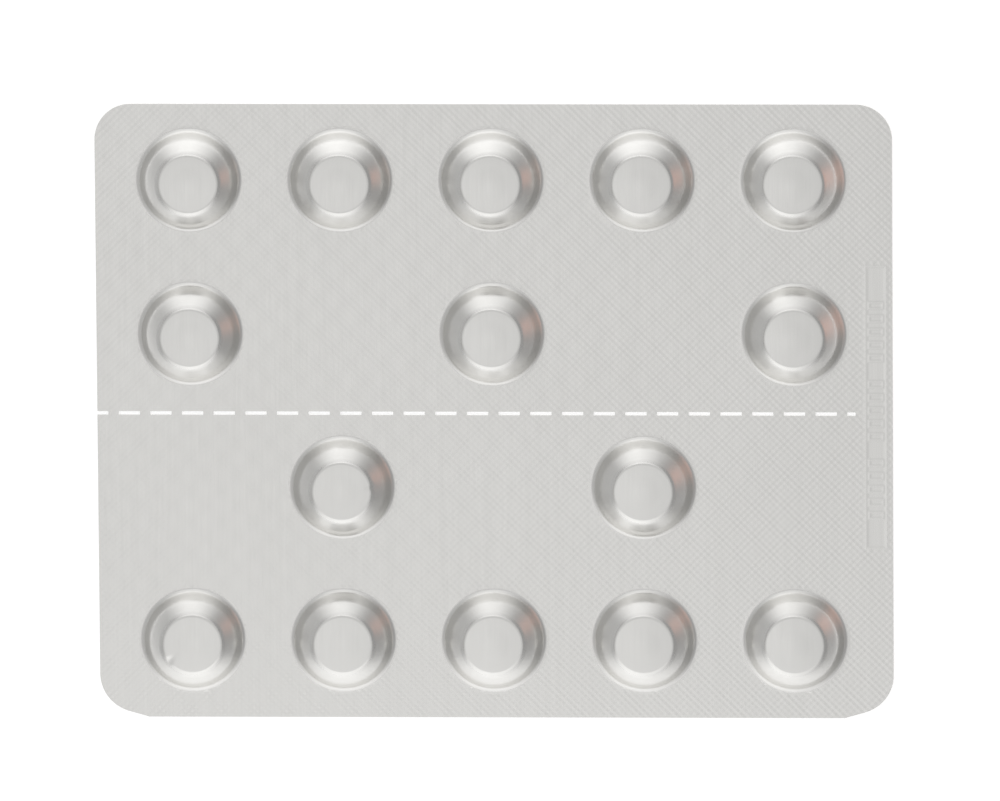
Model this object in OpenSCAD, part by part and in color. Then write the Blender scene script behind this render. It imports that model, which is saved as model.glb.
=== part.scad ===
// Sealed foil pack of tablets, lying flat with its pockets upward.
// A formed foil and a flat lidding foil are bonded into one sheet. Round
// pockets rise from it, and a line of slits lets it be torn in two.
// X runs along the long edge, Y along the short edge, Z out of the pockets.
// The origin is the middle of the flat underside.

/* [Sheet] */
// Length of the long edge
sheet_w = 110; // [106:1:130]
// Length of the short edge
sheet_h = 86.6; // [84:0.2:110]
// Thickness of the two bonded foils
sheet_t = 0.25; // [0.2:0.05:0.5]
// Radius of the two upper corners
top_corner_r = 5; // [1:0.5:8]
// Radius of the two lower corners
bottom_corner_r = 5.5; // [1:0.5:8]
// Angle that a lower corner still makes with the lower edge where they meet
bottom_corner_kink = 16; // [8:1:30]
// Height above the lower edge at which a lower corner turns straight
bottom_corner_drop = 0.8; // [0.4:0.1:1.5]

/* [Pocket places] */
// Places across the sheet
columns = 5; // [3:1:5]
// Places down the sheet
rows = 4; // [3:1:4]
// Distance between columns
column_pitch = 20.85; // [18:0.05:21]
// Distance between rows
row_pitch = 21.65; // [18:0.05:21.8]
// Shift of the whole pattern along the long edge
pattern_x = -0.3; // [-0.5:0.05:0.5]
// Shift of the whole pattern along the short edge
pattern_y = 0.15; // [-0.5:0.05:0.5]

/* [Pocket] */
// Diameter at the foot, where the pocket leaves the sheet
foot_d = 14.7; // [13:0.1:16]
// Height of the flat top above the sheet
pocket_h = 3.4; // [2.8:0.1:3.8]
// Radius of the hollow round at the foot
foot_r = 0.75; // [0.3:0.05:1]
// Radius of the round between the wall and the flat top
crown_r = 1.4; // [0.6:0.1:1.8]
// Slope of the wall where it meets the crown
wall_top_angle = 40; // [36:1:44]
// Slope of the wall where it meets the foot
wall_foot_angle = 64; // [58:1:68]

/* [Tear line] */
// Height of the line above the middle of the sheet
tear_y = -0.25; // [-1:0.05:1]
// Distance from one slit's start to the next
slit_pitch = 4.38; // [3.6:0.02:6]
// Length of a slit
slit_len = 2.94; // [1.5:0.02:3.2]
// Width of a slit
slit_w = 0.5; // [0.3:0.1:1]
// Distance from the left edge to the first whole slit
first_slit = 2.96; // [1:0.02:3.4]
// Length left uncut between the last slit and the pressed strip
tear_clearance = 1.4; // [0.6:0.05:4]

/* [Pressed strip] */
// Distance from the right edge to the strip
strip_inset = 0.85; // [0.6:0.05:1.5]
// Width of the strip
strip_w = 2.9; // [2:0.1:3.2]
// Length of the strip
strip_len = 39.9; // [20:0.1:46]
// Height of the strip's middle above the middle of the sheet
strip_y = 0.7; // [-3:0.1:3]
// Depth to which the strip is pressed flat
strip_depth = 0.05; // [0.03:0.01:0.08]
// Bare length at the strip's upper end
strip_lead = 5.6; // [2:0.1:10]
// Distance from one blank frame to the next
frame_pitch = 1.85; // [1.5:0.05:3]
// Blank frames in a group, each group followed by one empty place
frame_group = 5; // [2:1:8]
// Width left bare between a frame's ends and the strip's sides
frame_margin = 0.35; // [0.1:0.05:0.7]
// Width of a frame along the strip
frame_w = 1.15; // [0.9:0.05:1.3]
// Width of the line that a frame is made of
frame_line = 0.3; // [0.2:0.05:0.35]

/* [Hidden] */
$fn = 96;
// Extra length with which a cut runs past the face that it opens
past = 1;
// Lower corner: where its round starts and ends, and where its straight ends
bottom_round_y = bottom_corner_r * cos(bottom_corner_kink) + bottom_corner_drop;
bottom_round_x = bottom_corner_r * (1 - sin(bottom_corner_kink));
bottom_straight_x = bottom_round_x + bottom_corner_drop / tan(bottom_corner_kink);
// Pocket wall: its three tangent arcs, from the flat top down to the foot
foot_radius = foot_d / 2;
crown_drop = crown_r * (1 - cos(wall_top_angle));
foot_rise = foot_r * (1 - cos(wall_foot_angle));
wall_r = (pocket_h - crown_drop - foot_rise) / (cos(wall_top_angle) - cos(wall_foot_angle));
wall_foot_x = foot_radius - foot_r * sin(wall_foot_angle);
wall_centre = [wall_foot_x - wall_r * sin(wall_foot_angle), foot_rise - wall_r * cos(wall_foot_angle)];
wall_top_x = wall_centre[0] + wall_r * sin(wall_top_angle);
flat_radius = wall_top_x - crown_r * sin(wall_top_angle);
// Pressed strip: its middle across, its upper end and its frames
strip_x = sheet_w / 2 - strip_inset - strip_w / 2;
strip_top = strip_y + strip_len / 2;
frame_len = strip_w - 2 * frame_margin;
frame_places = floor((strip_len - strip_lead) / frame_pitch);
// Tear line: its right end, from the sheet's left edge
tear_end = sheet_w - strip_inset - strip_w - tear_clearance;

// The outer rows are full, and the inner rows fill every other place
function is_filled(row, column) =
    row == 0 || row == rows - 1 || (row + column) % 2 == 1;

function place(row, column) = [
    pattern_x + (column - (columns - 1) / 2) * column_pitch,
    pattern_y + ((rows - 1) / 2 - row) * row_pitch
];

// Half of the outline's straight-sided frame, with chords across its corners
function half_frame(side) = [
    [side * (sheet_w / 2 - bottom_straight_x), -sheet_h / 2],
    [side * (sheet_w / 2 - bottom_round_x), -sheet_h / 2 + bottom_corner_drop],
    [side * sheet_w / 2, -sheet_h / 2 + bottom_round_y],
    [side * sheet_w / 2, sheet_h / 2 - top_corner_r],
    [side * (sheet_w / 2 - top_corner_r), sheet_h / 2]
];

// Outline: the lower corners meet the lower edge at a slight angle
module outline() {
    left_side = half_frame(-1);
    polygon(concat(half_frame(1), [for (i = [len(left_side) - 1 : -1 : 0]) left_side[i]]));
    for (side = [-1, 1]) {
        translate([side * (sheet_w / 2 - top_corner_r), sheet_h / 2 - top_corner_r])
            circle(r = top_corner_r);
        translate([side * (sheet_w / 2 - bottom_corner_r), -sheet_h / 2 + bottom_round_y])
            circle(r = bottom_corner_r);
    }
}

// Half section of a pocket, from its axis to the end of its foot.
// Each round is cut from a circle, so the turned wall has true curves.
module pocket_section() {
    difference() {
        union() {
            polygon([[0, 0], [foot_radius, 0], [wall_foot_x, foot_rise], [0, foot_rise]]);
            intersection() {
                translate(wall_centre) circle(r = wall_r, $fn = 360);
                translate([0, foot_rise])
                    square([foot_radius, pocket_h - crown_drop - foot_rise]);
            }
            translate([0, pocket_h - crown_drop]) square([flat_radius, crown_drop]);
            intersection() {
                translate([flat_radius, pocket_h - crown_r]) circle(r = crown_r);
                translate([0, pocket_h - crown_drop]) square([foot_radius, crown_drop]);
            }
        }
        translate([foot_radius, foot_r]) circle(r = foot_r);
    }
}

// One pocket, solid because it is shut and can't be seen into.
// It reaches down through the sheet, so that the two are one solid.
module pocket() {
    translate([0, 0, sheet_t]) rotate_extrude() pocket_section();
    cylinder(r = foot_radius, h = sheet_t);
}

// One slit of the tear line, cut short where the line ends
module slit(start) {
    from = max(start, -past);
    to = min(start + slit_len, tear_end);
    translate([from - sheet_w / 2, tear_y - slit_w / 2, -past])
        cube([to - from, slit_w, sheet_t + 2 * past]);
}

// Slits at an even pitch. The first opens at the left edge.
module tear_line() {
    for (start = [first_slit - slit_pitch : slit_pitch : tear_end - slit_w])
        slit(start);
}

// One blank frame, standing up from the pressed strip
module blank_frame() {
    linear_extrude(height = strip_depth) difference() {
        square([frame_len, frame_w], center = true);
        square([frame_len - 2 * frame_line, frame_w - 2 * frame_line], center = true);
    }
}

// Flat strip beside the right edge, with blank frames in even groups
module strip_cut() {
    difference() {
        translate([strip_x - strip_w / 2, strip_top - strip_len, sheet_t - strip_depth])
            cube([strip_w, strip_len, past]);
        for (k = [0 : frame_places - 1])
            if (k % (frame_group + 1) != frame_group)
                translate([strip_x, strip_top - strip_lead - k * frame_pitch, sheet_t - strip_depth])
                    blank_frame();
    }
}

module blister_pack() {
    color("silver") {
        difference() {
            linear_extrude(height = sheet_t) outline();
            tear_line();
            strip_cut();
        }
        for (row = [0 : rows - 1], column = [0 : columns - 1])
            if (is_filled(row, column))
                translate(place(row, column)) pocket();
    }
}

blister_pack();
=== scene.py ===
# %% [markdown]
# # A foil pack of tablets
#
# The real object is a cold-formed blister pack. A thick foil laminate is pressed into round
# pockets without heat, the tablets drop in, and a thinner lidding foil is sealed on from
# behind between knurled plates. Everything that shows is bare satin aluminium, so the whole
# likeness is in three things: the shape of the pockets, the fine crossed knurl that the
# sealing plates leave, and what the metal reflects.
#
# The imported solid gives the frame. Two finer meshes stand for it here: the formed foil on
# top and the lidding foil below.

import bpy
import numpy as np
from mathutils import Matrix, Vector, geometry


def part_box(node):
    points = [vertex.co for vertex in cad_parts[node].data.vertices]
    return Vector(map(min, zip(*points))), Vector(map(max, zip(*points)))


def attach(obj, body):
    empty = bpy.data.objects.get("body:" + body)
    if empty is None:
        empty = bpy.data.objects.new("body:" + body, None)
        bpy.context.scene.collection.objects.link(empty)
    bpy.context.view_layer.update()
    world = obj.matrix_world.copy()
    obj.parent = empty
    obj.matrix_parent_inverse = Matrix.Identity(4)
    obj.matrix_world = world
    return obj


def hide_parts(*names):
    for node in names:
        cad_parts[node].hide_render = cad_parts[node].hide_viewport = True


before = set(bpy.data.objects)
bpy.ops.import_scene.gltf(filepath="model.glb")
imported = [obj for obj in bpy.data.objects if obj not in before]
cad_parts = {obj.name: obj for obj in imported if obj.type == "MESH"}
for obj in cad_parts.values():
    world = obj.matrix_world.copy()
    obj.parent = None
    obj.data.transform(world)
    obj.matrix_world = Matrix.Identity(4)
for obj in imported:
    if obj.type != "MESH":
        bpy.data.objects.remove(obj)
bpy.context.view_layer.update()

# %% [markdown]
# ## Sizes
#
# Blender works in metres, but a blister pack is easier to think about in millimetres. All
# shapes below are worked out in millimetres as numpy arrays, and are scaled once, when an
# array becomes a mesh. The three outer sizes are read from the frame, so the meshes follow
# the solid, and the rest are the pack's own driving dimensions.

# %% Sizes in millimetres
MM = 0.001
BODY = "root"
NODE = "blister_pack"

node_low, node_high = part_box(NODE)
SHEET_W = (node_high.x - node_low.x) / MM
SHEET_H = (node_high.y - node_low.y) / MM
SHEET_T = 0.25
BOND_Z = 0.06
POCKET_H = (node_high.z - node_low.z) / MM - SHEET_T

TOP_CORNER_R = 5.0
BOTTOM_CORNER_R = 5.5
BOTTOM_CORNER_KINK = np.radians(16)
BOTTOM_CORNER_DROP = 0.8
RIM_STEP = 0.25

print("sheet", round(SHEET_W, 2), "x", round(SHEET_H, 2), "mm, pockets", round(POCKET_H, 2), "mm high")

# %% [markdown]
# ## The outline
#
# The die that cuts the card rounds its upper corners fully, but its lower corners stop a few
# degrees short of the lower edge, so a slight kink is left there. The outline is made of true
# arcs and straights, and then gets evenly spaced extra points, so that the knurl can run off
# the rim instead of ending in one long flat facet.

# %% Arcs and even spacing
NEAR_SHARE = 0.4


def arc(centre, radius, start, stop, count=24):
    """Points on a circle: the centre plus the radius times (cos, sin) of an angle that runs from start to stop."""
    turn = np.linspace(start, stop, count)
    return np.column_stack([centre[0] + radius * np.cos(turn), centre[1] + radius * np.sin(turn)])


def evened(path, step):
    """A closed path with points added at even distances along it, wherever none of its own points is near."""
    closed = np.vstack([path, path[:1]])
    along = np.r_[0, np.cumsum(np.hypot(*np.diff(closed, axis=0).T))]
    added = np.arange(step / 2, along[-1], step)
    added = added[np.abs(added[:, None] - along[None, :]).min(axis=1) > step * NEAR_SHARE]
    where = np.sort(np.r_[along[:-1], added])
    return np.column_stack([np.interp(where, along, closed[:, axis]) for axis in (0, 1)])


# %% Outline of the card
HALF_W = SHEET_W / 2
HALF_H = SHEET_H / 2
ROUND_Y = BOTTOM_CORNER_R * np.cos(BOTTOM_CORNER_KINK) + BOTTOM_CORNER_DROP
ROUND_X = BOTTOM_CORNER_R * (1 - np.sin(BOTTOM_CORNER_KINK))
STRAIGHT_X = ROUND_X + BOTTOM_CORNER_DROP / np.tan(BOTTOM_CORNER_KINK)


def outline():
    """The card's rim, anticlockwise from the right end of its lower edge, with a point every quarter millimetre."""
    right_low = arc((HALF_W - BOTTOM_CORNER_R, ROUND_Y - HALF_H), BOTTOM_CORNER_R,
                    BOTTOM_CORNER_KINK - np.pi / 2, 0)
    right_top = arc((HALF_W - TOP_CORNER_R, HALF_H - TOP_CORNER_R), TOP_CORNER_R, 0, np.pi / 2)
    right = np.vstack([[[HALF_W - STRAIGHT_X, -HALF_H]], right_low, right_top])
    left = right[::-1] * [-1, 1]
    return evened(np.vstack([right, left]), RIM_STEP)


rim = outline()
print("the rim has", len(rim), "points")

# %% [markdown]
# ## What breaks the flat sheet
#
# Three things interrupt the sheet: fifteen round pockets, a tear line of short slits that
# opens at the left edge, and a smooth strip at the right edge where the sealing tool presses
# its code. The code itself isn't wanted here, so blank frames in even groups take its place.

# %% Pockets, slits and strip
COLUMN_PITCH = 20.85
ROW_PITCH = 21.65
PATTERN = (-0.3, 0.15)
ROWS = ((0, 1, 2, 3, 4), (0, 2, 4), (1, 3), (0, 1, 2, 3, 4))
FOOT_R = 7.35

pocket_places = np.array([
    (PATTERN[0] + (column - 2) * COLUMN_PITCH, PATTERN[1] + (1.5 - row) * ROW_PITCH)
    for row, columns in enumerate(ROWS) for column in columns
])

TEAR_Y = -0.25
SLIT_PITCH = 4.38
SLIT_LEN = 2.94
SLIT_W = 0.5
FIRST_SLIT = 2.96
STRIP_W = 2.9
STRIP_LEN = 39.9
STRIP_INSET = 0.85
STRIP_MIDDLE_Y = 0.7
TEAR_CLEARANCE = 1.4

tear_end = SHEET_W - STRIP_INSET - STRIP_W - TEAR_CLEARANCE
slit_starts = np.arange(FIRST_SLIT - SLIT_PITCH, tear_end - SLIT_W, SLIT_PITCH)
slit_ends = np.minimum(slit_starts + SLIT_LEN, tear_end) - HALF_W
slit_starts = np.maximum(slit_starts, 0) - HALF_W
strip_centre = (HALF_W - STRIP_INSET - STRIP_W / 2, STRIP_MIDDLE_Y)


def rectangle(low_x, low_y, high_x, high_y, step):
    """A rectangle's border, anticlockwise, with extra points at even distances."""
    corners = np.array([(low_x, low_y), (high_x, low_y), (high_x, high_y), (low_x, high_y)])
    return evened(corners, step)


slits = [rectangle(a, TEAR_Y - SLIT_W / 2, b, TEAR_Y + SLIT_W / 2, RIM_STEP)
         for a, b in zip(slit_starts, slit_ends)]
print(len(pocket_places), "pockets and", len(slits), "slits")

# %% [markdown]
# ## The knurl
#
# The sealing plates are engraved with two families of fine ridges, one rising to the right
# and one to the left. Each family shows two rhythms, a strong one and a weaker, wider one,
# because the two plates don't have the same pitch. As a height field that is a sum of
# triangle waves.
#
# A bump texture would be cheaper, but a knurl that is only painted on goes flat at the rim
# and in an exported mesh. So it is real relief. The trick that keeps it light is to place the
# mesh's points where a crest or a trough of one family crosses one of the other: between
# those points the strong wave is flat, and each little facet is exactly a facet of the tool.

# %% Knurl as a height field
KNURL_PITCH = 0.711
SECOND_PITCH = 0.918
KNURL_DEPTH = 0.012
SECOND_SHARE = 0.35
CALM_BAND = 0.3


def triangle_wave(distance, pitch):
    """A wave of straight flanks: 1 on each crest, -1 halfway between two crests."""
    return 4 * np.abs(distance / pitch - np.floor(distance / pitch) - 0.5) - 1


def knurl(points):
    """Depth of the knurl below the sheet's top: two families of ridges at 45 degrees, each the sum of a strong
    wave and a weaker, wider one, scaled so that the highest crest is at 0."""
    families = ((points[:, 0] + points[:, 1]) / np.sqrt(2), (points[:, 0] - points[:, 1]) / np.sqrt(2))
    height = sum((1 - SECOND_SHARE) * triangle_wave(along, KNURL_PITCH)
                 + SECOND_SHARE * triangle_wave(along, SECOND_PITCH) for along in families)
    return KNURL_DEPTH * (1 - height / 2)


def knurl_lattice():
    """Every crossing of a crest or trough line of one family with one of the other, over the whole card."""
    reach = int(np.hypot(HALF_W, HALF_H) / (KNURL_PITCH / 2)) + 1
    lines = np.arange(-reach, reach + 1) * KNURL_PITCH / 2
    rising, falling = np.meshgrid(lines, lines)
    return np.column_stack([(rising + falling).ravel(), (rising - falling).ravel()]) / np.sqrt(2)


# %% [markdown]
# ## Distances to the borders
#
# The lattice has to keep clear of the rim, the pockets, the slits and the strip, or the
# triangles beside them turn into slivers. Each border gets a small function that says how
# far a point is from it.

# %% Distance functions
def inside_rim(points):
    """Distance inwards from the rim: the least of the distances to the four edges, to the short slants of the
    lower corners and, in each corner, to its arc."""
    x, y = np.abs(points[:, 0]), points[:, 1]
    slant = (np.cos(BOTTOM_CORNER_KINK) * (y + HALF_H)
             - np.sin(BOTTOM_CORNER_KINK) * (x - HALF_W + STRAIGHT_X))
    inset = np.minimum.reduce([HALF_W - x, HALF_H - np.abs(y), slant])
    top_x, top_y = x - HALF_W + TOP_CORNER_R, y - HALF_H + TOP_CORNER_R
    low_x, low_y = x - HALF_W + BOTTOM_CORNER_R, ROUND_Y - HALF_H - y
    in_top = (top_x > 0) & (top_y > 0)
    in_low = (low_x > 0) & (low_y > 0)
    inset = np.where(in_top, TOP_CORNER_R - np.hypot(top_x, top_y), inset)
    return np.where(in_low, np.minimum(slant, BOTTOM_CORNER_R - np.hypot(low_x, low_y)), inset)


def outside_pockets(points, radius=FOOT_R):
    """Distance outwards from the nearest pocket's foot circle, negative inside a pocket."""
    offset = points[:, None, :] - pocket_places[None, :, :]
    return np.hypot(offset[..., 0], offset[..., 1]).min(axis=1) - radius


def outside_slits(points):
    """Distance from the nearest slit, measured as from a box: the larger of the two overshoots."""
    middle = (slit_starts + slit_ends) / 2
    half = (slit_ends - slit_starts) / 2
    over_x = (np.abs(points[:, 0, None] - middle) - half).min(axis=1)
    return np.maximum(over_x, np.abs(points[:, 1] - TEAR_Y) - SLIT_W / 2)


def outside_strip(points):
    """Distance from the pressed strip, measured in the same way."""
    over_x = np.abs(points[:, 0] - strip_centre[0]) - STRIP_W / 2
    return np.maximum(over_x, np.abs(points[:, 1] - strip_centre[1]) - STRIP_LEN / 2)


def smoothstep(value):
    """A soft step from 0 to 1 with level ends: 3 v squared minus 2 v cubed."""
    v = np.clip(value, 0, 1)
    return v * v * (3 - 2 * v)


def calm(points):
    """How much of the knurl is left: none at a pocket's foot or at the strip, all of it a short way off."""
    near = np.minimum(outside_pockets(points), outside_strip(points))
    return smoothstep(near / CALM_BAND)


# %% [markdown]
# ## Filling the sheet
#
# Between those borders the sheet is a flat region with holes, and such a region isn't a
# plain grid. Blender's constrained Delaunay triangulation joins any set of points and keeps
# the given border lines whole, so the lattice and the borders go into it together. The
# triangles that fall inside a hole are taken out by where their middles lie.

# %% Triangulate a region
LATTICE_CLEARANCE = 0.11
SAME_POINT = 1e-5
KEEP_ALL_TRIANGLES = 0


def filled(borders, inner):
    """Triangles over closed border paths and loose inner points. Gives the points and the triangles."""
    counts = [len(border) for border in borders]
    points = np.vstack([*borders, inner])
    starts = np.r_[0, np.cumsum(counts)]
    edges = [(start + i, start + (i + 1) % count)
             for start, count in zip(starts, counts) for i in range(count)]
    result = geometry.delaunay_2d_cdt([Vector(p) for p in points], edges, [], KEEP_ALL_TRIANGLES, SAME_POINT, False)
    return np.array([tuple(v) for v in result[0]]), np.array(result[2])


def without_holes(points, triangles, *holes):
    """Only the triangles whose middle is outside every hole, each hole given by its distance function."""
    middle = points[triangles].mean(axis=1)
    keep = np.minimum.reduce([hole(middle) for hole in holes]) > 0
    return triangles[keep]


# %% [markdown]
# ## One pocket
#
# A cold-formed pocket has no sharp edge. The foil comes out of the sheet through a tight
# hollow, stands steep for a short way, then leans over into a wide shoulder and rounds off
# to the flat top. Such a profile is easiest to give by its slope: the height at a radius is
# the sum of the slope's tangent from the foot inwards. The top swells by a tenth of a
# millimetre, because the foil springs back when the punch leaves it.

# %% Pocket profile
FLAT_R = 3.8
SHOULDER_R = 4.6
KNEE_R = 5.75
STEEP_R = 6.1
HOLLOW_R = 0.75
SHOULDER_SLOPES = (38, 43)
WALL_SLOPES = (59, 64)
TOP_SWELL = 0.11
SWELL_REACH = 4.0
SLOPE_STEPS = 3000
POCKET_SIDES = 76


def pocket_profile():
    """Radius and height along the pocket, from the middle of its top to its foot. The slope is interpolated between
    a few radii, and in the hollow at the foot its sine falls evenly to 0. The height is the running sum of its
    tangent, scaled to the pocket's height. A soft step lowers all but the middle, so the top swells."""
    hollow_start = FOOT_R - HOLLOW_R * np.sin(np.radians(WALL_SLOPES[1]))
    fine = np.linspace(0, FOOT_R, SLOPE_STEPS)
    slope = np.radians(np.interp(
        fine, [FLAT_R, SHOULDER_R, KNEE_R, STEEP_R, hollow_start], [0, *SHOULDER_SLOPES, *WALL_SLOPES]))
    slope = np.where(fine > hollow_start, np.arcsin(np.clip((FOOT_R - fine) / HOLLOW_R, 0, 1)), slope)
    fall = np.r_[0, np.cumsum(np.tan((slope[1:] + slope[:-1]) / 2) * np.diff(fine))]
    radius = np.r_[FLAT_R * np.array([0, 0.25, 0.5, 0.75]), np.linspace(FLAT_R, SHOULDER_R, 7)[:-1],
                   np.linspace(SHOULDER_R, KNEE_R, 6)[:-1], np.linspace(KNEE_R, hollow_start, 8)[:-1],
                   FOOT_R - HOLLOW_R * np.sin(np.linspace(np.radians(WALL_SLOPES[1]), 0, 8))]
    height = POCKET_H * (1 - np.interp(radius, fine, fall) / fall[-1])
    lowered = TOP_SWELL * smoothstep(radius / SWELL_REACH)
    return radius, height - lowered * height / POCKET_H


profile_r, profile_z = pocket_profile()
profile_along = np.r_[0, np.cumsum(np.hypot(np.diff(profile_r), np.diff(profile_z)))]
print("the profile has", len(profile_r), "points and is", round(profile_along[-1], 2), "mm long")


# %% Grids and turned surfaces
def grid_triangles(rows, columns, closed):
    """Two triangles for each cell of a grid of points. A closed grid also joins its last column to its first."""
    row, column = np.meshgrid(np.arange(rows - 1), np.arange(columns if closed else columns - 1), indexing="ij")
    here = (row * columns + column).ravel()
    beside = (row * columns + (column + 1) % columns).ravel()
    lower, opposite = here + columns, beside + columns
    return np.vstack([np.column_stack([here, lower, opposite]), np.column_stack([here, opposite, beside])])


def foot_ring(centre, radius=FOOT_R):
    """The circle of points that a pocket and the sheet share."""
    turn = np.arange(POCKET_SIDES) * 2 * np.pi / POCKET_SIDES
    return centre + radius * np.column_stack([np.cos(turn), np.sin(turn)])


def turned(centre, radius, height):
    """A profile turned about an upright axis: (radius cos t, radius sin t, height), t round the full circle."""
    ring = foot_ring((0, 0), 1)
    points = np.empty((len(radius), POCKET_SIDES, 3))
    points[..., :2] = centre + radius[:, None, None] * ring[None]
    points[..., 2] = height[:, None]
    return points.reshape(-1, 3), grid_triangles(len(radius), POCKET_SIDES, True)


# %% [markdown]
# Two of the pockets took a knock: a nick on the shoulder of one and another on the rim of
# the flat top of its neighbour. A nick is a small dent, so it pulls the nearby points down
# by a bell curve of their distance from its middle.

# %% Nicks
NICKS = (
    {"place": (-16.8, -10.05), "width": 0.32, "depth": 0.10},
    {"place": (-45.1, -34.55), "width": 0.38, "depth": 0.09},
)


def nicked(points):
    """Points pulled down by each nick: the depth times exp(-(distance / width) squared)."""
    for nick in NICKS:
        distance = np.hypot(points[:, 0] - nick["place"][0], points[:, 1] - nick["place"][1])
        points[:, 2] -= nick["depth"] * np.exp(-(distance / nick["width"]) ** 2)
    return points


# %% [markdown]
# ## The pressed strip
#
# The strip is a shallow flat pressed over the knurl, and its frames stand up from it like
# embossed type. It is a plain grid: the height over a point of it is one soft step down at
# the border and a soft ridge along each frame's line.

# %% Strip surface
STRIP_DEPTH = 0.022
STRIP_EDGE = 0.45
STRIP_LEAD = 5.6
FRAME_PITCH = 1.85
FRAME_GROUP = 5
FRAME_MARGIN = 0.35
FRAME_W = 1.15
FRAME_LINE = 0.3
FRAME_RISE = 0.024
# The cells' sizes keep every border point clear of the middle between two weld steps
STRIP_CELLS = (24, 300)


def strip_grid():
    """Even points over the strip, from its lower left corner, row by row upwards."""
    across = np.linspace(-STRIP_W / 2, STRIP_W / 2, STRIP_CELLS[0] + 1) + strip_centre[0]
    up = np.linspace(-STRIP_LEN / 2, STRIP_LEN / 2, STRIP_CELLS[1] + 1) + strip_centre[1]
    x, y = np.meshgrid(across, up)
    return np.column_stack([x.ravel(), y.ravel()])


def strip_border():
    """The border points of that grid, anticlockwise, which the sheet shares."""
    x, y = strip_grid().reshape(STRIP_CELLS[1] + 1, STRIP_CELLS[0] + 1, 2).transpose(2, 0, 1)
    sides = [(x[0, :-1], y[0, :-1]), (x[:-1, -1], y[:-1, -1]),
             (x[-1, :0:-1], y[-1, :0:-1]), (x[:0:-1, 0], y[:0:-1, 0])]
    return np.vstack([np.column_stack(side) for side in sides])


def strip_relief(points):
    """Height of the strip below the sheet's top: a soft step down from the border to the pressed floor, and a
    soft ridge along each frame's line. Frames stand in groups, with one empty place after each group."""
    floor = smoothstep(-outside_strip(points) / STRIP_EDGE)
    first = strip_centre[1] + STRIP_LEN / 2 - STRIP_LEAD
    place = np.round((first - points[:, 1]) / FRAME_PITCH)
    places = int((STRIP_LEN - STRIP_LEAD) / FRAME_PITCH)
    used = (place >= 0) & (place < places) & (place % (FRAME_GROUP + 1) != FRAME_GROUP)
    over_x = np.abs(points[:, 0] - strip_centre[0]) - (STRIP_W / 2 - FRAME_MARGIN - FRAME_LINE / 2)
    over_y = np.abs(points[:, 1] - first + place * FRAME_PITCH) - (FRAME_W - FRAME_LINE) / 2
    from_line = np.abs(np.maximum(over_x, over_y))
    ridge = smoothstep(1 - from_line / FRAME_LINE) * used
    return FRAME_RISE * ridge - STRIP_DEPTH * floor


# %% [markdown]
# ## From patches to a closed mesh
#
# Each foil is sewn from patches that share their border points: the knurled sheet, the
# pockets, the strip. Welding joins equal points. What is then still open is the rim and the
# slits, and those edges get a wall down to the plane where the two foils are bonded, so each
# foil ends up a closed body with all its faces outward.
#
# Facets of the knurl are shaded flat, because a smooth normal would average the two flanks
# of each ridge away. The pockets are shaded smooth.

# %% Weld, wall and mesh
WELD = 1e-4


def welded(patches):
    """Joins patches of (points, triangles, smooth, draw) at equal points. Gives the points, the triangles, which
    triangles are smooth, and for each point its draw, the distance along a pocket's profile."""
    offsets = np.r_[0, np.cumsum([len(points) for points, *_ in patches])]
    points = np.vstack([patch[0] for patch in patches])
    triangles = np.vstack([patch[1] + offset for patch, offset in zip(patches, offsets)])
    smooth = np.concatenate([np.full(len(patch[1]), patch[2]) for patch in patches])
    draw = np.concatenate([np.broadcast_to(patch[3], len(patch[0])) for patch in patches])
    _, first, merged = np.unique(np.round(points / WELD).astype(np.int64), axis=0,
                                 return_index=True, return_inverse=True)
    triangles = merged.ravel()[triangles]
    whole = ((triangles[:, 0] != triangles[:, 1]) & (triangles[:, 1] != triangles[:, 2])
             & (triangles[:, 2] != triangles[:, 0]))
    return points[first], triangles[whole], smooth[whole], draw[first]


def open_edges(triangles, count):
    """Edges that only one triangle uses, in the direction in which it uses them."""
    edges = np.vstack([triangles[:, [0, 1]], triangles[:, [1, 2]], triangles[:, [2, 0]]])
    forward = edges[:, 0] * count + edges[:, 1]
    backward = edges[:, 1] * count + edges[:, 0]
    return edges[~np.isin(forward, backward)]


def wall_patch(points, triangles, level):
    """A wall from every open edge straight up or down to a level, with its faces outward."""
    edges = open_edges(triangles, len(points))
    top = points[edges]
    foot = top.copy()
    foot[..., 2] = level
    corners = np.stack([top[:, 1], top[:, 0], foot[:, 0], foot[:, 1]], axis=1).reshape(-1, 3)
    start = np.arange(len(edges)) * 4
    sides = np.vstack([np.column_stack([start, start + 1, start + 2]),
                       np.column_stack([start, start + 2, start + 3])])
    return corners, sides, False, 0.0


def mesh_piece(name, patches, material):
    """A mesh object from welded patches, in metres, with the draw distance as a point attribute."""
    points, triangles, smooth, draw = welded(patches)
    mesh = bpy.data.meshes.new(name)
    mesh.vertices.add(len(points))
    mesh.vertices.foreach_set("co", (points * MM).astype(np.float32).ravel())
    mesh.loops.add(triangles.size)
    mesh.loops.foreach_set("vertex_index", triangles.astype(np.int32).ravel())
    mesh.polygons.add(len(triangles))
    mesh.polygons.foreach_set("loop_start", np.arange(0, triangles.size, 3, dtype=np.int32))
    mesh.polygons.foreach_set("use_smooth", smooth)
    mesh.update(calc_edges=True)
    mesh.attributes.new("draw", "FLOAT", "POINT").data.foreach_set("value", draw.astype(np.float32))
    mesh.materials.append(material)
    piece = bpy.data.objects.new(name, mesh)
    bpy.context.scene.collection.objects.link(piece)
    left_open = len(open_edges(triangles, len(points)))
    print(name, "has", len(triangles), "triangles and", left_open, "open edges")
    return piece


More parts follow.
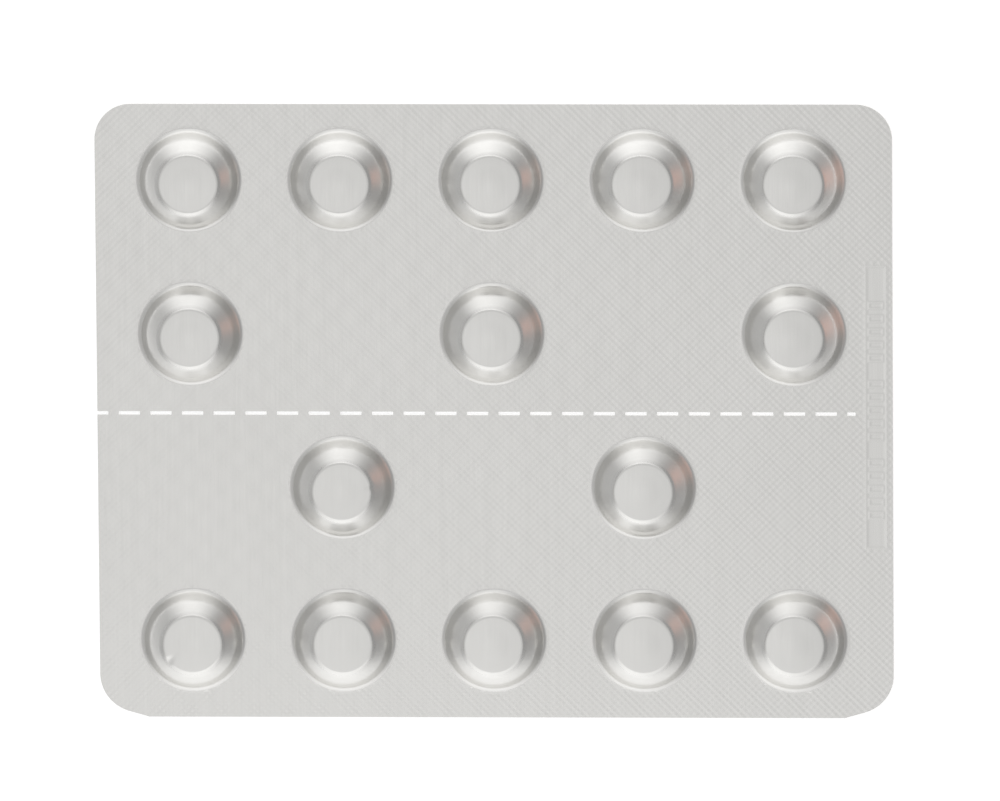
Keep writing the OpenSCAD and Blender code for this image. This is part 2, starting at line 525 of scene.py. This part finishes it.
# %% [markdown]
# ## The foil's finish
#
# Rolled foil is never a mirror. The rolls leave fine grain lines, here running up the card,
# and drawing the pockets adds faint rings round their walls and roughens them. All this is
# far finer than the mesh, so it belongs to the material: it spreads the reflection, varies
# the roughness a little and tints the metal by a percent or two.
#
# Each effect is a node group that puts out plain values. The metal itself stays one
# Principled BSDF, whose metallic value and base colour are set on its own sockets where
# they are the same everywhere.

# %% Node group helper
def node_group(name, inputs, outputs):
    """An empty shader group with named float inputs and outputs, and its two end nodes."""
    group = bpy.data.node_groups.new(name, "ShaderNodeTree")
    for label, value in inputs.items():
        socket = group.interface.new_socket(name=label, in_out="INPUT", socket_type="NodeSocketFloat")
        socket.default_value = value
    for label in outputs:
        group.interface.new_socket(name=label, in_out="OUTPUT", socket_type="NodeSocketFloat")
    return group, group.nodes.new("NodeGroupInput"), group.nodes.new("NodeGroupOutput")


def wire(tree, pairs):
    """Links each (output socket, input socket) pair."""
    for source, target in pairs:
        tree.links.new(source, target)


def arithmetic(tree, operation, first=None, second=None, third=None):
    """A math node. Numbers are set on its sockets, and sockets are linked to them."""
    node = tree.nodes.new("ShaderNodeMath")
    node.operation = operation
    for socket, value in zip(node.inputs, (first, second, third)):
        if isinstance(value, bpy.types.NodeSocket):
            tree.links.new(value, socket)
        elif value is not None:
            socket.default_value = value
    return node.outputs[0]


# %% Rolled grain
def rolled_grain():
    """Noise drawn out along Y: fine grain lines, and broader streaks under them. Both are centred on 0."""
    group, start, end = node_group(
        "Rolled grain", {"Lines per mm": 7.0, "Streaks per mm": 1.1, "Stretch": 40.0}, ("Lines", "Streaks"))
    coordinates = group.nodes.new("ShaderNodeTexCoord")
    for label, output in (("Lines per mm", "Lines"), ("Streaks per mm", "Streaks")):
        across = arithmetic(group, "DIVIDE", start.outputs[label], MM)
        along = arithmetic(group, "DIVIDE", across, start.outputs["Stretch"])
        scale = group.nodes.new("ShaderNodeCombineXYZ")
        stretched = group.nodes.new("ShaderNodeVectorMath")
        stretched.operation = "MULTIPLY"
        noise = group.nodes.new("ShaderNodeTexNoise")
        noise.inputs["Scale"].default_value = 1
        noise.inputs["Detail"].default_value = 3
        wire(group, [(across, scale.inputs["X"]), (along, scale.inputs["Y"]), (across, scale.inputs["Z"]),
                     (coordinates.outputs["Object"], stretched.inputs[0]),
                     (scale.outputs[0], stretched.inputs[1]),
                     (stretched.outputs[0], noise.inputs["Vector"])])
        centred = arithmetic(group, "SUBTRACT", noise.outputs["Fac"], 0.5)
        wire(group, [(centred, end.inputs[output])])
    return group


# %% Draw rings
def draw_rings():
    """Faint rings round a pocket, worked out from the draw distance: noise of one number, so it is the same all
    the way round, faded out on the flat top and on the sheet."""
    group, start, end = node_group("Draw rings", {"Rings per mm": 3.2, "Wall start mm": 4.2}, ("Rings", "Wall"))
    draw = group.nodes.new("ShaderNodeAttribute")
    draw.attribute_name = "draw"
    noise = group.nodes.new("ShaderNodeTexNoise")
    noise.noise_dimensions = "1D"
    noise.inputs["Detail"].default_value = 2
    wall = arithmetic(group, "SUBTRACT", draw.outputs["Fac"], start.outputs["Wall start mm"])
    wall = arithmetic(group, "MULTIPLY", wall, 2)
    wall_mask = group.nodes.new("ShaderNodeClamp")
    wire(group, [(draw.outputs["Fac"], noise.inputs["W"]),
                 (start.outputs["Rings per mm"], noise.inputs["Scale"]),
                 (wall, wall_mask.inputs["Value"])])
    centred = arithmetic(group, "SUBTRACT", noise.outputs["Fac"], 0.5)
    wire(group, [(arithmetic(group, "MULTIPLY", centred, wall_mask.outputs[0]), end.inputs["Rings"]),
                 (wall_mask.outputs[0], end.inputs["Wall"])])
    return group


# %% Mottle
def mottle():
    """Broad, soft clouds over the card, centred on 0: the slight unevenness of sealed and handled foil."""
    group, start, end = node_group("Foil mottle", {"Clouds per mm": 0.05}, ("Clouds",))
    coordinates = group.nodes.new("ShaderNodeTexCoord")
    noise = group.nodes.new("ShaderNodeTexNoise")
    noise.inputs["Detail"].default_value = 2
    scale = arithmetic(group, "DIVIDE", start.outputs["Clouds per mm"], MM)
    wire(group, [(coordinates.outputs["Object"], noise.inputs["Vector"]), (scale, noise.inputs["Scale"])])
    wire(group, [(arithmetic(group, "SUBTRACT", noise.outputs["Fac"], 0.5), end.inputs["Clouds"])])
    return group


grain_group, ring_group, mottle_group = rolled_grain(), draw_rings(), mottle()

# %% Foil material
FOIL_DARK = (0.735, 0.728, 0.708, 1)
FOIL_LIGHT = (0.815, 0.808, 0.788, 1)
DRAWN_ROUGHNESS = 0.13
STREAK_TONE, CLOUD_TONE, RING_TONE = 0.5, 0.35, 0.4
LINE_ROUGHNESS = 0.12
RING_RELIEF = 3.0


def placed(tree, group):
    """A node of a group, with the group's own input values."""
    node = tree.nodes.new("ShaderNodeGroup")
    node.node_tree = group
    return node


def foil_material(name, roughness, line_depth):
    """Satin aluminium: one metal shader, with grain, rings and clouds in its colour, roughness and bump."""
    material = bpy.data.materials.new(name)
    material.use_nodes = True
    tree = material.node_tree
    metal = tree.nodes["Principled BSDF"]
    metal.inputs["Metallic"].default_value = 1
    grain = placed(tree, grain_group)
    rings = placed(tree, ring_group)
    clouds = placed(tree, mottle_group)

    tone = arithmetic(tree, "MULTIPLY_ADD", grain.outputs["Streaks"], STREAK_TONE, 0.5)
    tone = arithmetic(tree, "MULTIPLY_ADD", clouds.outputs["Clouds"], CLOUD_TONE, tone)
    tone = arithmetic(tree, "MULTIPLY_ADD", rings.outputs["Rings"], RING_TONE, tone)
    colour = tree.nodes.new("ShaderNodeMix")
    colour.data_type = "RGBA"
    colour.inputs["A"].default_value = FOIL_DARK
    colour.inputs["B"].default_value = FOIL_LIGHT
    wire(tree, [(tone, colour.inputs["Factor"]), (colour.outputs["Result"], metal.inputs["Base Color"])])

    rough = arithmetic(tree, "MULTIPLY_ADD", grain.outputs["Lines"], LINE_ROUGHNESS, roughness)
    rough = arithmetic(tree, "MULTIPLY_ADD", rings.outputs["Wall"], DRAWN_ROUGHNESS, rough)
    wire(tree, [(rough, metal.inputs["Roughness"])])

    bump = tree.nodes.new("ShaderNodeBump")
    bump.inputs["Distance"].default_value = line_depth * MM
    height = arithmetic(tree, "MULTIPLY_ADD", rings.outputs["Rings"], RING_RELIEF, grain.outputs["Lines"])
    wire(tree, [(height, bump.inputs["Height"]), (bump.outputs["Normal"], metal.inputs["Normal"])])
    return material


formed_material = foil_material("Formed foil", roughness=0.22, line_depth=0.002)
lidding_material = foil_material("Lidding foil", roughness=0.28, line_depth=0.003)

# %% [markdown]
# ## The formed foil
#
# Now the patches come together. The knurled sheet reaches from the rim to the feet of the
# pockets, each pocket starts on the very ring of points where the sheet stops, and the strip
# fills its own opening. Last come the wall round the rim and through the slits, and the
# plain underside.

# %% Knurled sheet with its openings
def sheet_patch(borders, holes, height):
    """The part of the card between the borders: lattice points clear of them all, and the heights from a function."""
    lattice = knurl_lattice()
    lattice = lattice[inside_rim(lattice) > LATTICE_CLEARANCE]
    for hole in holes:
        lattice = lattice[hole(lattice) > LATTICE_CLEARANCE]
    flat, triangles = filled(borders, lattice)
    triangles = without_holes(flat, triangles, *holes)
    return np.column_stack([flat, height(flat)]), triangles, False, 0.0


def inside_foot_polygon(points):
    """Distance from the pockets' feet, drawn in by the sagitta of the ring's straight sides."""
    return outside_pockets(points, FOOT_R * np.cos(np.pi / POCKET_SIDES))


feet = [foot_ring(place) for place in pocket_places]
knurled = sheet_patch(
    [rim, *slits, strip_border(), *feet],
    [inside_foot_polygon, outside_slits, outside_strip],
    lambda points: SHEET_T - knurl(points) * calm(points))
print("the knurled sheet has", len(knurled[1]), "facets")

# %% Pockets, strip and underside
pockets = []
for place in pocket_places:
    points, triangles = turned(place, profile_r, profile_z + SHEET_T)
    pockets.append((nicked(points), triangles, True, np.repeat(profile_along, POCKET_SIDES)))

strip_points = strip_grid()
strip = (np.column_stack([strip_points, SHEET_T + strip_relief(strip_points)]),
         grid_triangles(STRIP_CELLS[1] + 1, STRIP_CELLS[0] + 1, False)[:, ::-1], True, 0.0)


def backing(level):
    """The plain face of a foil on the bonding plane: the outline with its slits, and no inner points."""
    flat, triangles = filled([rim, *slits], np.empty((0, 2)))
    triangles = without_holes(flat, triangles, outside_slits)
    return np.column_stack([flat, np.full(len(flat), level)]), triangles, False, 0.0


def closed_piece(name, patches, material, face_up):
    """Welds the visible patches, walls them to the bonding plane and closes them with a plain face."""
    points, triangles, *_ = welded(patches)
    wall = wall_patch(points, triangles, BOND_Z)
    back_points, back_triangles, *_ = backing(BOND_Z)
    if face_up:
        back_triangles = back_triangles[:, ::-1]
    return mesh_piece(name, [*patches, wall, (back_points, back_triangles, False, 0.0)], material)


formed_foil = closed_piece("formed_foil", [knurled, *pockets, strip], formed_material, face_up=True)

# %% [markdown]
# ## The lidding foil
#
# The back of the card is the mirror of the sealing plates' work: knurled where the foils are
# bonded, and smooth over each pocket, where nothing pressed against it. Those round windows
# sink in by a few hundredths of a millimetre.

# %% Underside
WINDOW_DISH = 0.03

window_r = FOOT_R * np.array([0, 0.25, 0.5, 0.75, 0.9, 1.0])
window_z = WINDOW_DISH * (1 - (window_r / FOOT_R) ** 4)

under_knurl = sheet_patch(
    [rim, *slits, strip_border(), *feet],
    [inside_foot_polygon, outside_slits, outside_strip],
    lambda points: knurl(points) * calm(points))
windows = []
for place in pocket_places:
    points, triangles = turned(place, window_r, window_z)
    windows.append((points, triangles[:, ::-1], True, 0.0))
under_strip = (np.column_stack([strip_points, -strip_relief(strip_points)]),
               grid_triangles(STRIP_CELLS[1] + 1, STRIP_CELLS[0] + 1, False), True, 0.0)
under_sheet = (under_knurl[0], under_knurl[1][:, ::-1], False, 0.0)
lidding_foil = closed_piece("lidding_foil", [under_sheet, *windows, under_strip], lidding_material, face_up=False)

for piece in (formed_foil, lidding_foil):
    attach(piece, BODY)
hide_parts(NODE)
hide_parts(NODE)

# %% [markdown]
# ## Floor
#
# The photograph's ground is pure white, and white shows through the slits too. The floor is
# a plain pale surface that catches the card's shadow. What lifts it to white is a faint
# glow that camera, glossy and transmission rays see and diffuse rays don't, so the pocket
# walls mirror a white ground too.

# %% Floor
FLOOR_SIZE = 6.0
FLOOR_COLOUR = (0.85, 0.85, 0.85, 1)
FLOOR_GLOW = 0.5
FLOOR_GAP = 0.02


def seen_directly(tree):
    """1 for camera, glossy and transmission rays, 0 for diffuse ones."""
    path = tree.nodes.new("ShaderNodeLightPath")
    seen = arithmetic(tree, "MAXIMUM", path.outputs["Is Camera Ray"], path.outputs["Is Glossy Ray"])
    return arithmetic(tree, "MAXIMUM", seen, path.outputs["Is Transmission Ray"])


def make_floor():
    """A large square just under the card."""
    half = FLOOR_SIZE / 2
    mesh = bpy.data.meshes.new("floor")
    mesh.from_pydata([(-half, -half, 0), (half, -half, 0), (half, half, 0), (-half, half, 0)], [], [(0, 1, 2, 3)])
    floor = bpy.data.objects.new("floor", mesh)
    floor.location.z = node_low.z - FLOOR_GAP * MM
    bpy.context.scene.collection.objects.link(floor)
    material = bpy.data.materials.new("White ground")
    material.use_nodes = True
    tree = material.node_tree
    matt = tree.nodes["Principled BSDF"]
    matt.inputs["Base Color"].default_value = FLOOR_COLOUR
    matt.inputs["Roughness"].default_value = 0.9
    matt.inputs["Specular IOR Level"].default_value = 0.1
    matt.inputs["Emission Color"].default_value = (1, 1, 1, 1)
    wire(tree, [(arithmetic(tree, "MULTIPLY", seen_directly(tree), FLOOR_GLOW), matt.inputs["Emission Strength"])])
    mesh.materials.append(material)


make_floor()

# %% [markdown]
# ## Light
#
# A bare metal card shows the room more than itself. The level parts look almost straight up,
# so the overhead panels set their tone. The pocket walls lean at forty to sixty degrees, so
# they look low and sideways: bright towards the top of the picture, where the main soft
# light is, fairly bright towards the bottom, and darker to the left and right.
#
# An area lamp's brightness is its power over pi and its area. The lamps here are set by
# brightness, where 1 renders a white surface as white. A lamp of even brightness has a hard
# edge, which polished metal mirrors as a hard line. A real soft box glows most in its middle,
# so each panel fades towards its sides, by its own place coordinates.

# %% Lamps
def fade(tree, place, share):
    """1 in the middle of a panel and 0 at its two sides, by a soft step over a share of each half."""
    from_middle = arithmetic(tree, "ABSOLUTE", arithmetic(tree, "SUBTRACT", place, 0.5))
    ramp = tree.nodes.new("ShaderNodeMapRange")
    ramp.interpolation_type = "SMOOTHSTEP"
    ramp.inputs["From Min"].default_value = 0.5
    ramp.inputs["From Max"].default_value = 0.5 * (1 - share)
    wire(tree, [(from_middle, ramp.inputs["Value"])])
    return ramp.outputs["Result"]


def panel(name, place, size, brightness, facing, fades, colour=(1, 1, 1)):
    """A rectangular soft light of size (across, up) at a place in metres, which fades towards its sides by the
    two shares, and which the camera doesn't see."""
    lamp = bpy.data.lights.new(name, "AREA")
    lamp.shape = "RECTANGLE"
    lamp.size, lamp.size_y = size
    lamp.energy = brightness * np.pi * size[0] * size[1]
    lamp.color = colour
    lamp.use_nodes = True
    tree = lamp.node_tree
    surface = tree.nodes.new("ShaderNodeNewGeometry")
    sides = tree.nodes.new("ShaderNodeSeparateXYZ")
    wire(tree, [(surface.outputs["Parametric"], sides.inputs[0])])
    glow = arithmetic(tree, "MULTIPLY", fade(tree, sides.outputs["X"], fades[0]),
                      fade(tree, sides.outputs["Y"], fades[1]))
    wire(tree, [(glow, tree.nodes["Emission"].inputs["Strength"])])
    holder = bpy.data.objects.new(name, lamp)
    holder.location = place
    holder.rotation_mode = "QUATERNION"
    holder.rotation_quaternion = Vector(facing).to_track_quat("-Z", "Y")
    holder.visible_camera = False
    bpy.context.scene.collection.objects.link(holder)


LEVEL = (0.0, 0.0, -1.0)
panel("wide overhead panel", (-0.06, 0.0, 1.3), (1.6, 1.6), 0.32, LEVEL, (0.4, 0.4))
panel("round overhead panel", (-0.10, -0.235, 1.1), (0.56, 0.56), 0.28, LEVEL, (1.0, 1.0))
panel("upper wall of light", (-0.06, 0.25, 0.25), (0.80, 1.20), 0.68, (0, -1, 0), (1.0, 0.35))
panel("upper low strip", (-0.06, 0.23, 0.0), (0.74, 0.36), 0.45, (0, -1, 0), (1.0, 1.0))
panel("lower wall of light", (-0.037, -0.20, 0.10), (0.64, 0.80), 0.85, (0, 1, 0), (1.0, 0.5))
panel("left wall of light", (-0.35, 0.0, 0.20), (0.7, 0.9), 0.17, (1, 0, 0), (0.8, 0.6))
panel("warm card", (0.17, 0.035, 0.05), (0.13, 0.12), 0.48, (-1, 0, 0), (0.9, 0.9), colour=(1.0, 0.4, 0.24))

# %% World
WORLD_BRIGHTNESS = 0.36


def make_world():
    """Plain grey surroundings, the same for every ray. The floor alone is the white ground."""
    world = bpy.data.worlds.new("Studio")
    bpy.context.scene.world = world
    world.use_nodes = True
    background = world.node_tree.nodes["Background"]
    background.inputs["Color"].default_value = (1, 1, 1, 1)
    background.inputs["Strength"].default_value = WORLD_BRIGHTNESS


make_world()

# %% [markdown]
# ## Camera
#
# The card was shot from well above with a long lens. The pockets' tops sit a little below
# and to the left of their feet, which gives the tilt, and the rows shrink by about half a
# percent from top to bottom, which gives the distance. A camera that looks nearly straight
# down can't be aimed with a track constraint, because its up direction is lost, so its three
# turns are written out.

# %% Camera
VIEW_TILT = np.radians(12.0)
VIEW_SWING = np.radians(2.36)
VIEW_ROLL = np.radians(0.10)
VIEW_DISTANCE = 3.0
PHOTO_WIDTH = 1000
PIXELS_PER_MM = 7.238
CENTRE_PIXEL_OFFSET = (-5.2, -11.3)
SENSOR_WIDTH = 36.0
CLIP_END = 20

camera_data = bpy.data.cameras.new("camera")
camera_data.sensor_width = SENSOR_WIDTH
camera_data.lens = PIXELS_PER_MM * (VIEW_DISTANCE / MM) * SENSOR_WIDTH / PHOTO_WIDTH
camera_data.clip_end = CLIP_END
camera = bpy.data.objects.new("camera", camera_data)
bpy.context.scene.collection.objects.link(camera)
camera.rotation_mode = "ZYX"
camera.rotation_euler = (-VIEW_TILT, VIEW_SWING, VIEW_ROLL)
turn = camera.rotation_euler.to_matrix()
target = Vector((0, 0, SHEET_T)) * MM
sideways = turn @ Vector((-CENTRE_PIXEL_OFFSET[0], -CENTRE_PIXEL_OFFSET[1], 0)) / PIXELS_PER_MM * MM
camera.location = target + sideways + turn @ Vector((0, 0, VIEW_DISTANCE))
bpy.context.scene.camera = camera
print("lens", round(camera_data.lens), "mm at", round(camera.location.length, 2), "m")

# %% Finish
bpy.context.scene.view_settings.view_transform = "Standard"
